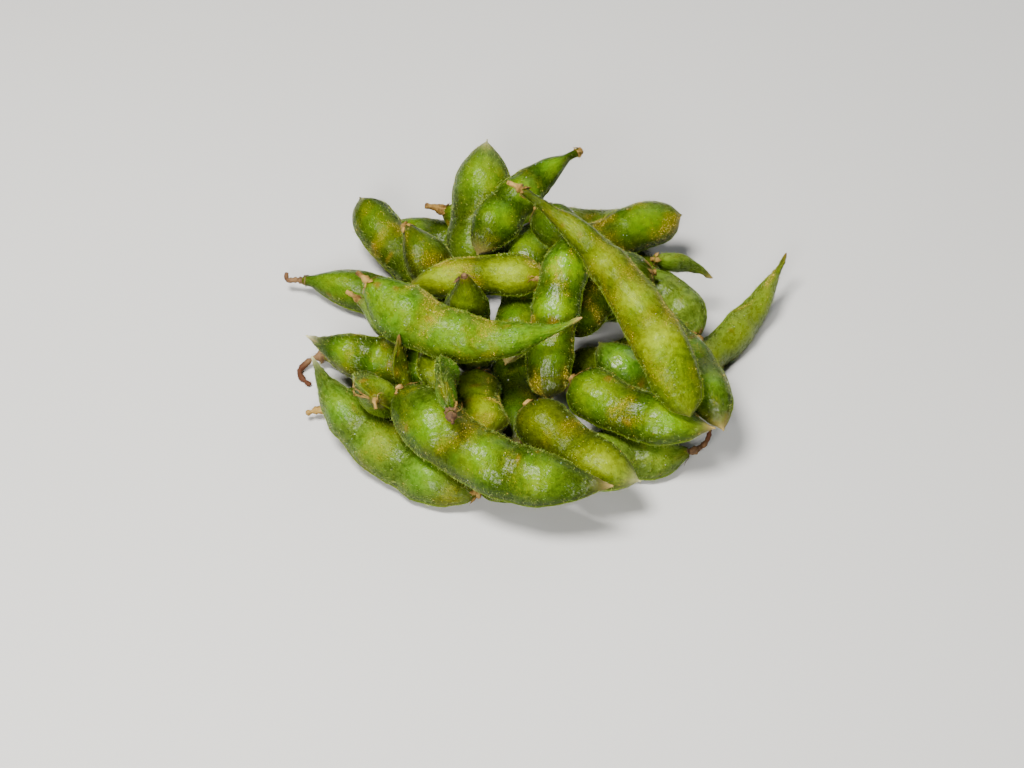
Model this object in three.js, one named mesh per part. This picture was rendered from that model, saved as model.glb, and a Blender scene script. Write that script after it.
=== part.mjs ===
// A bundle of boiled edamame pods, lying in a loose heap on a table.
// Millimetres, +Z up, the origin on the table under the middle of the heap's box, +Y away from
// the side that the heap is looked at from.
// Each pod is one solid: a flat, curved body that swells round its beans, drawn in to a
// beak at the tip and to a neck at the stem end, where some keep their calyx and stalk.
import * as THREE from "three";

// ---- Shape of one pod
const SIDES = 8; // corners round a section
const THICKNESS = 0.72; // thickness over width, at a bean
const BEAN_SWELL = 0.4; // share of the thickness that the beans add
const BEAN_SCALLOP = 0.12; // share of the width that the beans add
const FIRST_BEAN = 0.22; // places of the first and the last bean along the body
const LAST_BEAN = 0.74;
const BLUNT = 0.15; // share of the length that a blunt end and a slender one narrow over
const SLENDER = 0.6;
const NECK_RADIUS = 1.1;
const BEAK_RADIUS = 0.5;
const BEAK_LENGTH = 1.6; // on a slender tip
const BLUNT_BEAK = 0.4; // on a blunt one
const BODY_RINGS = 5; // rings along the body, and more for each bean
const BEAN_RINGS = 3;
const EASE_ENDS = 0.04; // how far the rings are drawn towards the ends

// ---- How the heap lies
const GAP = 0.5; // clear space between two pods
const FLAT_SPOT = 0.8; // how deep a pod that lies on the table is pressed flat
const GROW_STEPS = 160; // steps in which the pods swell to their size
const SETTLE_STEPS = 260; // steps in which they sink into place
const CLEAR_STEPS = 600; // most steps in which they are eased clear of each other
const THIN = 0.3; // share of its size that a pod begins with
const SINK = 0.15; // how far a pod falls in one step
const HOLD = 0.08; // share of a step that draws a pod back to where it was laid
const FIRMNESS = 0.7; // share of an overlap that one step takes away
const SKIN_STEP = 2.4; // spacing of the points that feel for other pods
const SKIN_SIDES = 12;
const SPIN_EASE = 14; // a pod turns as a rod does: its length squared over this

// The pods from the table upwards: where the stem end and the tip of the body are laid, how far
// the middle bows out to the left of that line, how many degrees the flat side is rolled about
// it, the width, the number of beans, the shares of the length over which the stem end and the
// tip narrow, what is left of the stalk, and the tint of the skin.
const PODS = [
  ["front_left_under", [-45, -12, 4], [-9, -18, 4], 3, 20, 10.5, 2, 0.2, 0.4, "stub", "deep"],
  ["front_left", [-7, -40, 5], [-48, -3, 10], 6, -25, 13, 3, 0.2, 0.55, "scar", "pale"],
  ["front_lip", [-8, -38, 4], [20, -31, 4], -2, 15, 10, 2, 0.2, 0.3, "scar", "fresh"],
  ["front_right_low", [42, -27, 5], [15, -27, 5], 2, -25, 12.5, 2, 0.4, 0.3, "curl", "pale"],
  ["centre_dark", [-4, 15, 6], [1, -25, 6], 2, 10, 11.5, 2, 0.2, 0.3, "scar", "deep"],
  ["right_low", [13, 0, 7], [44, 17, 5], -3, 10, 12, 2, 0.2, 0.3, "scar", "olive"],
  ["right_outer", [40, -6, 5], [69, 36, 9], -4, 55, 10, 3, 0.2, 0.6, "none", "olive"],
  ["right_leaning", [43, 4, 6], [18, 27, 6], -7, -35, 12, 3, 0.2, 0.3, "stub", "pale"],
  ["left_low", [-47, 7, 4], [-14, -5, 4], 3, 40, 11, 2, 0.4, 0.3, "curl", "olive"],
  ["left_stalked", [-54, 34, 7], [-16, 16, 5], 3, 25, 12, 2, 0.45, 0.3, "stub", "pale"],
  ["under_back_right", [12, 40, 5], [40, 37, 5], 3, 10, 12, 2, 0.2, 0.3, "scar", "olive"],
  ["front_big", [-26, -20, 15], [22, -49, 13], -7, 28, 14.5, 3, 0.15, 0.4, "scar", "fresh"],
  ["left_stubby", [-31, -24, 17], [-34, -7, 9], -2, 30, 13.5, 1, 0.35, 0.25, "stub", "fresh"],
  ["left_slim", [-38, 14, 10], [-14, 1, 10], -2, 50, 8, 2, 0.4, 0.3, "stub", "pale"],
  ["left_ragged", [-14, -8, 10], [-49, 2, 13], 2, -40, 12, 3, 0.2, 0.5, "scar", "fresh"],
  ["tiny_upright", [-28, -13, 5], [-26, -10, 22], 1, 80, 5, 1, 0.2, 0.5, "none", "olive"],
  ["small_stalked", [-14, -37, 21], [-16, -13, 12], 2, 70, 8, 2, 0.5, 0.3, "stub", "fresh"],
  ["olive_stalked", [-18, -19, 17], [-18, 4, 12], 1, 20, 8.5, 1, 0.3, 0.3, "curl", "olive"],
  ["torn_end", [-10, -2, 10], [-6, -27, 11], -2, 10, 12.5, 2, 0.2, 0.15, "scar", "olive"],
  ["middle_front", [4, -20, 14], [29, -43, 12], -3, 20, 13, 2, 0.15, 0.35, "scar", "olive"],
  ["right_front", [15, -13, 13], [47, -29, 12], -3, 25, 13, 2, 0.15, 0.45, "scar", "fresh"],
  ["right_glossy", [47, -10, 6], [21, 2, 13], 2, -10, 13, 2, 0.2, 0.3, "scar", "deep"],
  ["right_dark", [36, 20, 15], [12, 6, 13], -3, -35, 13, 2, 0.2, 0.2, "scar", "deep"],
  ["right_edge", [32, 14, 10], [49, -27, 9], 3, 10, 12, 3, 0.3, 0.3, "none", "deep"],
  ["small_flat", [35, 23, 18], [50, 29, 15], 1, 80, 5, 1, 0.3, 0.6, "scar", "olive"],
  ["brown_end", [36, 27, 10], [8, 24, 6], 2, 10, 11, 2, 0.3, 0.3, "scar", "olive"],
  ["back_broad", [4, 54, 6], [39, 51, 6], 1, 15, 14, 2, 0.2, 0.25, "scar", "olive"],
  ["back_right", [7, 28, 14], [44, 50, 14], 2, 30, 12.5, 2, 0.3, 0.2, "scar", "fresh"],
  ["second_long", [7, 32, 24], [25, 13, 17], -1, 20, 11, 2, 0.2, 0.3, "scar", "deep"],
  ["behind_upright", [-18, 53, 12], [12, 49, 10], -2, 20, 12, 2, 0.3, 0.3, "stub", "fresh"],
  ["back_left_low", [-34, 52, 5], [-6, 50, 5], 2, 10, 11, 2, 0.2, 0.3, "scar", "fresh"],
  ["pale_middle", [-19, 41, 4], [4, 39, 4], 2, 20, 10, 2, 0.2, 0.3, "scar", "fresh"],
  ["back_left_blunt", [-14, 27, 5], [-40, 58, 14], 2, -20, 11.5, 2, 0.2, 0.22, "none", "olive"],
  ["back_left_steep", [-27, 36, 24], [-12, 12, 7], 1, 0, 13, 2, 0.4, 0.3, "scar", "fresh"],
  ["back_upright", [-12, 30, 14], [-6, 58, 39], 0, 0, 15.5, 2, 0.2, 0.36, "none", "fresh"],
  ["back_stemmed", [17, 55, 33], [-7, 25, 21], -3, -20, 12, 3, 0.7, 0.25, "scar", "deep"],
  ["upright_middle", [3, 38, 25], [-1, -1, 9], 2, 0, 12.5, 3, 0.15, 0.3, "none", "deep"],
  ["facing_down", [-13, 3, 32], [-7, 3, 0], 0, 90, 11, 2, 0.35, 0.2, "scar", "olive"],
  ["yellow_middle", [8, 15, 24], [-26, 17, 20], -2, -35, 10.5, 2, 0.2, 0.4, "scar", "olive"],
  ["centre_upright", [18, 20, 31], [8, -15, 11], -2, 0, 11.5, 3, 0.2, 0.15, "none", "deep"],
  ["centre_curved", [-35, 4, 28], [15, -7, 26], -9, 40, 14, 3, 0.2, 0.75, "stub", "olive"],
  ["top_long", [3, 26, 43], [41, -29, 18], 6, 20, 13, 4, 0.75, 0.14, "stub", "olive"],
];

// What is left of a stalk: rings behind the neck, from the calyx outwards, each with its
// distance along the stalk, its radius and how far it has curled aside.
const STALKS = {
  none: [],
  scar: [{ back: 0.8, radius: 1.3, aside: 0 }],
  stub: [
    { back: 0.9, radius: 1.6, aside: 0 },
    { back: 2.3, radius: 0.9, aside: 0.1 },
    { back: 5.2, radius: 0.8, aside: 0.7 },
  ],
  curl: [
    { back: 0.9, radius: 1.6, aside: 0 },
    { back: 2.3, radius: 0.9, aside: 0.2 },
    { back: 4.8, radius: 0.75, aside: 1.5 },
    { back: 6.4, radius: 0.8, aside: 3.8 },
  ],
};
const STALK_TURN = 1.2; // how sharply a stalk's section turns as it curls

// Skin colours, and how wet the skins are.
const TINTS = { fresh: 0x6f8f1e, olive: 0x8a8c26, deep: 0x4c7018, pale: 0x8a9a55 };
const ROUGHNESS = 0.35;

const { clamp, degToRad, lerp } = THREE.MathUtils;

// Height, 0 to 1, of the swelling that the beans make at a share t of the body's length.
function swelling(t, beans) {
  const spacing = (LAST_BEAN - FIRST_BEAN) / Math.max(beans - 1, 1);
  const reach = spacing * 0.45;
  let height = 0;
  for (let bean = 0; bean < beans; bean++) {
    const away = (t - FIRST_BEAN - bean * spacing) / reach;
    height = Math.max(height, Math.exp(-away * away));
  }
  return height;
}

// How slender an end is, 0 to 1, that narrows over a share of the length.
function slenderness(share) {
  return clamp((share - BLUNT) / (SLENDER - BLUNT), 0, 1);
}

// Share of the full width at a place, counted from an end that narrows over a share of the
// length: round where that is short, drawn out where it is long.
function narrowing(place, share) {
  const slender = slenderness(share);
  const missing = 1 - Math.min(1, place / share);
  return (1 - missing ** lerp(2, 1.7, slender)) ** lerp(0.5, 0.95, slender);
}

// A pod as it is laid, with the functions that give its form in its own frame: x runs from
// the stem end to the tip with 0 half-way, y across the width and z through the thickness.
function layPod(row) {
  const [name, stemPlace, tipPlace, bow, roll, width, beans, stemEnd, tipEnd] = row;
  const [stalk, tint] = row.slice(9);
  const stem = new THREE.Vector3(...stemPlace);
  const tip = new THREE.Vector3(...tipPlace);
  const length = stem.distanceTo(tip);
  const along = tip.clone().sub(stem).normalize();
  const across = new THREE.Vector3(0, 0, 1).cross(along).normalize();
  const flat = new THREE.Matrix4().makeBasis(along, across, along.clone().cross(across));
  const rolled = new THREE.Matrix4().makeRotationX(degToRad(roll));
  const least = (t) => lerp(NECK_RADIUS, BEAK_RADIUS, t);
  const outline = (t) => narrowing(t, stemEnd) * narrowing(1 - t, tipEnd);
  return {
    name,
    beans,
    stalk,
    tint,
    length,
    beak: lerp(BLUNT_BEAK, BEAK_LENGTH, slenderness(tipEnd)),
    position: stem.clone().add(tip).multiplyScalar(0.5),
    turn: new THREE.Quaternion().setFromRotationMatrix(flat.multiply(rolled)),
    bend: (t) => bow * (1 - (2 * t - 1) ** 2),
    slant: (t) => Math.atan((-4 * bow * (2 * t - 1)) / length),
    halfWidth: (t) => {
      const share = outline(t) * (1 - BEAN_SCALLOP * (1 - swelling(t, beans)));
      return Math.max(least(t), (width / 2) * share);
    },
    halfThickness: (t) => {
      const share = outline(t) ** 0.8 * (1 - BEAN_SWELL * (1 - swelling(t, beans)));
      return Math.max(least(t), (width / 2) * THICKNESS * share);
    },
  };
}

// The ring round a pod's centre line at t.
function bodyRing(pod, t) {
  return {
    x: (t - 0.5) * pod.length,
    y: pod.bend(t),
    slant: pod.slant(t),
    halfWidth: pod.halfWidth(t),
    halfThickness: pod.halfThickness(t),
  };
}

// The rings of the stalk that a pod keeps, from its end to the neck.
function stalkRings(pod) {
  const slant = pod.slant(0);
  const rings = STALKS[pod.stalk].map(({ back, radius, aside }) => ({
    x: -pod.length / 2 - back * Math.cos(slant) + aside * Math.sin(slant),
    y: -back * Math.sin(slant) - aside * Math.cos(slant),
    slant: slant + STALK_TURN * Math.atan2(aside, back),
    halfWidth: radius,
    halfThickness: radius,
  }));
  return rings.reverse();
}

// The point at an angle on a ring, in the pod's own frame, for a pod at a share of its size.
function ringPoint({ x, y, slant, halfWidth, halfThickness }, angle, size = 1) {
  const out = -halfWidth * Math.cos(angle) * size;
  const through = halfThickness * Math.sin(angle) * size;
  return new THREE.Vector3(x - out * Math.sin(slant), y + out * Math.cos(slant), through);
}

// ---- Settling. The pods start thin, swell to their size, fall a little at each step, are
// pushed out of each other and off the table, and are drawn back to where they were laid.

// A pod with the points of its skin that feel for other pods, and its form in a table.
function feelingPod(pod) {
  const rows = Math.ceil(pod.length / SKIN_STEP);
  const skin = [];
  const form = [];
  for (let row = 0; row <= rows; row++) form.push(bodyRing(pod, row / rows));
  for (const ring of [...stalkRings(pod), ...form]) {
    for (let side = 0; side < SKIN_SIDES; side++) {
      skin.push({ ring, angle: (2 * Math.PI * side) / SKIN_SIDES });
    }
  }
  const box = new THREE.Box3();
  const home = { position: pod.position.clone(), turn: pod.turn.clone() };
  return { ...pod, rows, form, skin, box, home, points: skin.map(() => new THREE.Vector3()) };
}

// Puts the skin's points where the pod is now.
function placeSkin(pod, size) {
  pod.box.makeEmpty();
  pod.skin.forEach(({ ring, angle }, i) => {
    const point = ringPoint(ring, angle, size).applyQuaternion(pod.turn).add(pod.position);
    pod.points[i].copy(point);
    pod.box.expandByPoint(point);
  });
}

const inPod = new THREE.Vector3();

// How deep a point is in a pod with its clear space, and the way out; null where it is outside.
function depthIn(pod, point, undo, size) {
  inPod.copy(point).sub(pod.position).applyQuaternion(undo);
  const place = (inPod.x / pod.length + 0.5) * pod.rows;
  if (place < 0 || place > pod.rows) return null;
  const row = Math.min(Math.floor(place), pod.rows - 1);
  const [from, to] = [pod.form[row], pod.form[row + 1]];
  const mix = place - row;
  const wide = lerp(from.halfWidth, to.halfWidth, mix) * size + GAP;
  const thick = lerp(from.halfThickness, to.halfThickness, mix) * size + GAP;
  const slant = lerp(from.slant, to.slant, mix);
  const u = ((inPod.y - lerp(from.y, to.y, mix)) * Math.cos(slant)) / wide;
  const v = inPod.z / thick;
  const share = Math.max(Math.hypot(u, v), 1e-3);
  if (share >= 1) return null;
  const step = to.x - from.x;
  const widening = ((to.halfWidth - from.halfWidth) * size) / step;
  const thickening = ((to.halfThickness - from.halfThickness) * size) / step;
  const lean = -(u * u * widening) / wide - (v * v * thickening) / thick;
  const side = u / wide;
  const out = new THREE.Vector3(
    lean * Math.cos(slant) - side * Math.sin(slant),
    lean * Math.sin(slant) + side * Math.cos(slant),
    v / thick,
  ).divideScalar(share);
  const steepness = Math.max(out.length(), 1e-3);
  return { depth: (1 - share) / steepness, out: out.divideScalar(steepness) };
}

// The deepest contact of one pod's skin in another pod, or null.
function deepestContact(skinned, pod, size) {
  const undo = pod.turn.clone().invert();
  let deepest = null;
  for (const point of skinned.points) {
    if (!pod.box.containsPoint(point)) continue;
    const contact = depthIn(pod, point, undo, size);
    if (contact && contact.depth > (deepest?.depth ?? 0)) deepest = { ...contact, point };
  }
  deepest?.out.applyQuaternion(pod.turn);
  return deepest;
}

// How easily a push at a point moves a pod, and the turn that it gives.
function leverage(pod, point, direction) {
  const turning = point.clone().sub(pod.position).cross(direction);
  const ease = SPIN_EASE / (pod.length * pod.length);
  return { give: 1 + ease * turning.lengthSq(), turning: turning.multiplyScalar(ease) };
}

// Moves and turns a pod by a push along a direction.
function push(pod, { turning }, direction, amount) {
  pod.position.addScaledVector(direction, amount);
  const spin = turning.clone().multiplyScalar(amount);
  const angle = spin.length();
  if (angle < 1e-9) return;
  const step = new THREE.Quaternion().setFromAxisAngle(spin.divideScalar(angle), angle);
  pod.turn.premultiply(step).normalize();
}

const UP = new THREE.Vector3(0, 0, 1);

// Pushes every pod out of the others and off the table, and returns the deepest overlap.
function pushApart(pods, size) {
  let worst = 0;
  for (const pod of pods) {
    placeSkin(pod, size);
    const lowest = pod.points.reduce((low, point) => (point.z < low.z ? point : low));
    const under = -FLAT_SPOT - lowest.z;
    if (under <= 0) continue;
    const lever = leverage(pod, lowest, UP);
    push(pod, lever, UP, (FIRMNESS * under) / lever.give);
    placeSkin(pod, size);
    worst = Math.max(worst, under);
  }
  for (let i = 0; i < pods.length; i++) {
    for (let j = 0; j < pods.length; j++) {
      const [skinned, pod] = [pods[i], pods[j]];
      if (i === j || !skinned.box.intersectsBox(pod.box)) continue;
      const contact = deepestContact(skinned, pod, size);
      if (!contact) continue;
      worst = Math.max(worst, contact.depth);
      const levers = [skinned, pod].map((each) => leverage(each, contact.point, contact.out));
      const amount = (FIRMNESS * contact.depth) / (levers[0].give + levers[1].give);
      push(skinned, levers[0], contact.out, amount);
      push(pod, levers[1], contact.out, -amount);
      placeSkin(skinned, size);
      placeSkin(pod, size);
    }
  }
  return worst;
}

// Lets gravity and the hold on each pod's place act for one step.
function fallAndHold(pods, sink) {
  for (const pod of pods) {
    pod.position.z -= sink;
    pod.position.x = lerp(pod.position.x, pod.home.position.x, HOLD);
    pod.position.y = lerp(pod.position.y, pod.home.position.y, HOLD);
    pod.turn.slerp(pod.home.turn, HOLD);
  }
}

function settle(pods) {
  for (let step = 0; step < GROW_STEPS; step++) {
    fallAndHold(pods, 0);
    pushApart(pods, lerp(THIN, 1, (step + 1) / GROW_STEPS));
  }
  for (let step = 0; step < SETTLE_STEPS; step++) {
    fallAndHold(pods, SINK * (1 - step / SETTLE_STEPS));
    pushApart(pods, 1);
  }
  for (let step = 0; step < CLEAR_STEPS; step++) {
    if (pushApart(pods, 1) < GAP / 8) break;
  }
}

// ---- Solids

// A pod's closed skin: the grid of a sphere, its poles at the stalk and at the tip, with each
// row of it moved out to a ring and what lies below the table's surface pressed flat.
function podGeometry(pod) {
  const count = BODY_RINGS + BEAN_RINGS * pod.beans;
  const rings = stalkRings(pod);
  for (let i = 0; i <= count; i++) {
    const even = i / count;
    rings.push(bodyRing(pod, even - EASE_ENDS * Math.sin(2 * Math.PI * even)));
  }
  const first = rings[0];
  const last = rings[rings.length - 1];
  const stemPole = new THREE.Vector3(first.x, first.y, 0);
  const tipPole = new THREE.Vector3(pod.beak, 0, 0)
    .applyAxisAngle(UP, last.slant)
    .add(new THREE.Vector3(last.x, last.y, 0));
  const geometry = new THREE.SphereGeometry(1, SIDES, rings.length + 1);
  const corners = geometry.getAttribute("position");
  const undo = pod.turn.clone().invert();
  for (let i = 0; i < corners.count; i++) {
    const row = Math.floor(i / (SIDES + 1));
    const angle = (2 * Math.PI * (i % (SIDES + 1))) / SIDES;
    let point = ringPoint(rings[clamp(row, 1, rings.length) - 1], angle);
    if (row === 0) point = stemPole.clone();
    if (row > rings.length) point = tipPole.clone();
    point.applyQuaternion(pod.turn).add(pod.position);
    point.z = Math.max(point.z, 0);
    point.sub(pod.position).applyQuaternion(undo);
    corners.setXYZ(i, point.x, point.y, point.z);
  }
  geometry.computeVertexNormals();
  return geometry;
}

const heap = PODS.map(layPod).map(feelingPod);
settle(heap);

const bundle = new THREE.Group();
for (const pod of heap) {
  const skin = { color: TINTS[pod.tint], roughness: ROUGHNESS, metalness: 0 };
  const mesh = new THREE.Mesh(podGeometry(pod), new THREE.MeshStandardMaterial(skin));
  mesh.name = `pod_${pod.name}`;
  mesh.position.copy(pod.position);
  mesh.quaternion.copy(pod.turn);
  bundle.add(mesh);
}

// The origin goes under the middle of the heap's box.
const middle = new THREE.Box3().setFromObject(bundle, true).getCenter(new THREE.Vector3());
for (const mesh of bundle.children) {
  mesh.position.x -= middle.x;
  mesh.position.y -= middle.y;
}

export default bundle;
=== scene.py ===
"""Looks of a bundle of boiled edamame pods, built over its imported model.

Each pod's line, width and thickness are read from its CAD node, and a fine skin with seams, bean
bulges, bristles, a calyx and a stalk is made over them. Millimetres inside, metres in Blender.
"""

import math

import bpy
import numpy as np
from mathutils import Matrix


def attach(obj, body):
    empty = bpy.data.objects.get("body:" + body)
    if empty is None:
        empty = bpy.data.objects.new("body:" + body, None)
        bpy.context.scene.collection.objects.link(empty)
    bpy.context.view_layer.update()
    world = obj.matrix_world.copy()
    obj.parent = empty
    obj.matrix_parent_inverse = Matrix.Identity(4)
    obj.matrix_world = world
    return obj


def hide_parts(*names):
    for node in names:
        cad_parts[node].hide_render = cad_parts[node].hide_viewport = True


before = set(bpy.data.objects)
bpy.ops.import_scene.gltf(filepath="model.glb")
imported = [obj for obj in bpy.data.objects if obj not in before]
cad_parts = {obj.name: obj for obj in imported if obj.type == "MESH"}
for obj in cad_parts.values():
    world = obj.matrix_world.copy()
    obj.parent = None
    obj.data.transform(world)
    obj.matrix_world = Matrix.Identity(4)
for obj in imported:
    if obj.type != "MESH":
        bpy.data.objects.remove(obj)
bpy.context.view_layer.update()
MM = 0.001
BODY = "root"

# ---- The pods -------------------------------------------------------------------------------
# As in the solids: the places of the first and last bean along a body, the rings in it and more
# for each bean, how far the rings are drawn towards the ends, the radius of the neck and how near
# to it a ring has to be, and the corners of a ring.
FIRST_BEAN, LAST_BEAN = 0.22, 0.74
BODY_RINGS, BEAN_RINGS = 5, 3
EASE_ENDS = 0.04
NECK_RADIUS, NECK_SLACK = 1.1, 0.07
SOLID_SIDES = 8

# For each pod: its slot's tint, how yellow it is (0 green, 1 yellow), how bright at its stem end
# and at its tip (its own tone with painted light and shade: pods and ends lying in shade are
# painted darker, lit ones lighter), how pale, how much seasoning and how many bristles it has (1 is
# usual), the colour of its dry tip, how brown its stalk is, and where along it seasoning has
# gathered.
PODS = {
    "front_left_under": ("deep", 0.3, 0.5, 0.5, 0.1, 0.5, 0.8, "tan", 0.4, ()),
    "front_left": ("pale", 0.15, 1.05, 1.1, 0.25, 0.45, 1.4, "white", 0.6, (0.08, 0.45)),
    "front_lip": ("fresh", 0.3, 0.3, 0.35, 0.1, 0.4, 0.8, "tan", 0.5, ()),
    "front_right_low": ("pale", 0.4, 0.9, 0.9, 0.5, 0.6, 0.9, "tan", 0.9, ()),
    "centre_dark": ("deep", 0.3, 0.35, 0.35, 0.1, 0.5, 0.8, "tan", 0.5, ()),
    "right_low": ("olive", 0.7, 0.5, 0.6, 0.0, 1.4, 1.0, "tan", 0.5, (0.4,)),
    "right_outer": ("olive", 1.0, 1.3, 1.35, 0.25, 1.9, 1.4, "brown", 0.5, ()),
    "right_leaning": ("pale", 0.5, 1.0, 1.1, 0.5, 0.7, 1.0, "tan", 0.3, ()),
    "left_low": ("olive", 0.6, 0.9, 0.7, 0.1, 0.6, 0.8, "tan", 0.8, ()),
    "left_stalked": ("pale", 0.25, 0.85, 0.9, 0.1, 0.5, 1.0, "tan", 0.9, (0.6,)),
    "under_back_right": ("olive", 0.6, 0.6, 0.6, 0.0, 0.5, 0.8, "tan", 0.5, ()),
    "front_big": ("fresh", 0.35, 1.15, 0.9, 0.05, 0.65, 1.1, "tan", 0.5, (0.36,)),
    "left_stubby": ("fresh", 0.5, 1.0, 1.1, 0.1, 0.6, 1.1, "tan", 0.2, ()),
    "left_slim": ("pale", 0.35, 0.9, 0.9, 0.6, 1.0, 1.3, "tan", 0.3, ()),
    "left_ragged": ("fresh", 0.25, 0.9, 1.1, 0.0, 0.8, 1.2, "white", 0.4, (0.45, 0.7)),
    "tiny_upright": ("olive", 1.2, 1.7, 1.7, 0.0, 1.2, 1.0, "brown", 0.6, (0.5,)),
    "small_stalked": ("fresh", 0.1, 1.1, 1.1, 0.0, 0.7, 1.2, "tan", 1.0, (0.15,)),
    "olive_stalked": ("olive", 0.95, 0.8, 0.8, 0.0, 0.9, 1.0, "tan", 0.4, ()),
    "torn_end": ("olive", 0.95, 1.6, 1.6, 0.0, 1.4, 1.2, "tan", 0.3, (0.6, 0.85)),
    "middle_front": ("olive", 1.0, 0.38, 1.7, 0.0, 0.7, 0.9, "white", 0.5, (0.36,)),
    "right_front": ("fresh", 0.45, 1.0, 1.5, 0.0, 0.9, 1.1, "tan", 0.5, (0.4,)),
    "right_glossy": ("deep", 0.15, 1.15, 1.15, 0.1, 0.5, 0.9, "tan", 0.5, ()),
    "right_dark": ("deep", 0.3, 0.6, 0.6, 0.1, 1.4, 1.5, "tan", 0.5, (0.7,)),
    "right_edge": ("deep", 0.2, 0.9, 1.1, 0.1, 0.7, 1.1, "tan", 0.5, ()),
    "small_flat": ("olive", 0.5, 1.5, 1.6, 0.4, 0.7, 1.6, "tan", 0.5, ()),
    "brown_end": ("olive", 0.7, 0.7, 0.7, 0.0, 1.0, 1.2, "brown", 0.9, (0.1,)),
    "back_broad": ("olive", 0.7, 1.5, 1.5, 0.0, 1.0, 1.1, "brown", 0.8, (0.45,)),
    "back_right": ("fresh", 0.45, 1.2, 1.25, 0.0, 1.2, 1.3, "tan", 0.5, (0.5, 0.9)),
    "second_long": ("deep", 0.4, 0.7, 0.8, 0.0, 0.6, 0.9, "tan", 0.5, ()),
    "behind_upright": ("fresh", 0.4, 0.9, 0.9, 0.0, 0.6, 1.0, "tan", 0.5, ()),
    "back_left_low": ("fresh", 0.4, 0.9, 0.9, 0.0, 0.8, 1.0, "tan", 0.5, ()),
    "pale_middle": ("fresh", 0.5, 0.9, 0.9, 0.2, 0.8, 1.0, "tan", 0.5, ()),
    "back_left_blunt": ("olive", 0.4, 0.45, 0.7, 0.0, 0.8, 1.5, "tan", 0.5, (0.6,)),
    "back_left_steep": ("fresh", 0.5, 0.42, 0.42, 0.0, 0.9, 1.3, "tan", 0.2, (0.4,)),
    "back_upright": ("fresh", 0.45, 0.45, 1.35, 0.1, 0.8, 1.0, "white", 0.5, ()),
    "back_stemmed": ("deep", 0.3, 1.2, 0.85, 0.0, 0.7, 1.2, "tan", 0.4, ()),
    "upright_middle": ("deep", 0.4, 0.9, 0.9, 0.0, 0.6, 0.8, "tan", 0.5, ()),
    "facing_down": ("olive", 0.75, 0.95, 0.95, 0.0, 0.6, 0.8, "tan", 1.0, ()),
    "yellow_middle": ("olive", 1.15, 1.5, 1.6, 0.0, 1.1, 0.9, "brown", 0.4, (0.08, 0.5)),
    "centre_upright": ("deep", 0.35, 1.6, 1.0, 0.0, 1.5, 1.1, "tan", 0.5, (0.6, 0.88)),
    "centre_curved": ("olive", 0.22, 1.4, 1.65, 0.08, 1.0, 1.1, "tan", 0.5, (0.3, 0.58)),
    "top_long": ("olive", 0.95, 0.85, 2.3, 0.0, 0.8, 1.1, "tan", 0.2, (0.45, 0.68)),
}

# How even a skin's colour is along the body: by its tint, and on some pods. 0 is darkest between
# the beans, with the most painted shade in the hollows and painted light on the crowns, and 1 is
# the same all along.
TINT_EVEN = {"fresh": 0.1, "olive": 0.45, "deep": 0.1, "pale": 0.1}
EVEN = {"centre_curved": 0.95, "top_long": 0.55, "right_outer": 0.8, "right_leaning": 0.6}

# How glossy a pod is: by its tint, and what some are multiplied by.
TINT_GLOSS = {"fresh": 0.9, "olive": 0.3, "deep": 1.1, "pale": 0.6}
GLOSS = {
    "right_glossy": 2.4,
    "right_front": 1.1,
    "centre_upright": 1.1,
    "centre_curved": 1.7,
    "torn_end": 1.9,
    "back_left_steep": 0.5,
    "back_upright": 0.6,
    "back_stemmed": 0.5,
    "back_right": 0.5,
    "right_dark": 0.7,
}

# Stalks unlike the others: the share of the solid's thickness and of its length they are drawn
# with, how many calyx lobes they have, and how long and which way their dry ends hook round.
STALKS = {
    "left_low": (1.1, 0.9, 0, 6.5, (0.9, -0.7, 0.1)),
    "left_stalked": (0.7, 0.7, 1, 2.4, (0.5, 0.4, 0.9)),
    "left_stubby": (0.5, 0.6, 0, 1.8, (0.2, -0.5, -0.8)),
    "left_slim": (0.6, 0.8, 0, 0.0, (0.0, 0.0, 1.0)),
    "centre_curved": (0.7, 0.7, 4, 0.0, (0.0, 0.0, 1.0)),
    "small_stalked": (0.75, 0.6, 5, 0.0, (0.0, 0.0, 1.0)),
    "front_right_low": (0.8, 0.8, 2, 2.0, (0.2, 0.4, 0.9)),
    "top_long": (0.75, 0.8, 4, 0.0, (0.0, 0.0, 1.0)),
}
USUAL_STALK = (0.85, 0.9, 3, 0.0, (0.0, 0.0, 1.0))

# Dry torn places: the pod, the way they face, and where they start and end along its body.
TORN = (
    ("left_stubby", (-0.8, -0.5, 0.3), 0.0, 0.75),
    ("torn_end", (-0.9, -0.5, 0.2), 0.12, 0.6),
    ("olive_stalked", (0.5, -0.7, 0.4), 0.0, 0.3),
    ("yellow_middle", (0.4, -0.6, 0.5), 0.0, 0.1),
    ("small_stalked", (0.9, 0.2, 0.3), 0.0, 0.15),
)

# ---- Numbers of the fine model, in millimetres ----------------------------------------------
SIDES = 48  # points round a section
SEAM_CROWDING = 0.36  # how much closer together they are at the seams
ROWS_PER_MM = 1.6  # rings along a skin
END_ROWS = 24  # more of them, since they are closer together at the ends
BLUNT_TIP = 0.12  # radius of the last ring
LOOK_AHEAD = 0.2  # how far ahead and behind a line's direction is read
SEAM_RISE = 0.30  # how far the seams stand out, and their half-width as a share of a section
SEAM_SHARE = 0.10
LENS = 1.22  # how much a section is drawn in towards its seams, 1 for an ellipse
WAVES = ((6.0, 0.16), (2.2, 0.05))  # size and height of the unevenness of a skin
CREASE_SIZE, CREASE_HEIGHT = 2.6, 0.07  # creases across a skin between its beans
CREASE_STRETCH = (2.6, 0.5, 0.5)
USUAL_WIDTH, USUAL_DEPTH = 6.0, 4.0  # a section's half-sizes in the skin's own coordinates
POD_STEP = 31.0  # how far apart the pods are in those
DRY_REACH, STEM_REACH = 1.3, 1.6  # how far dryness at the tip and brown at the stem fade over
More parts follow.
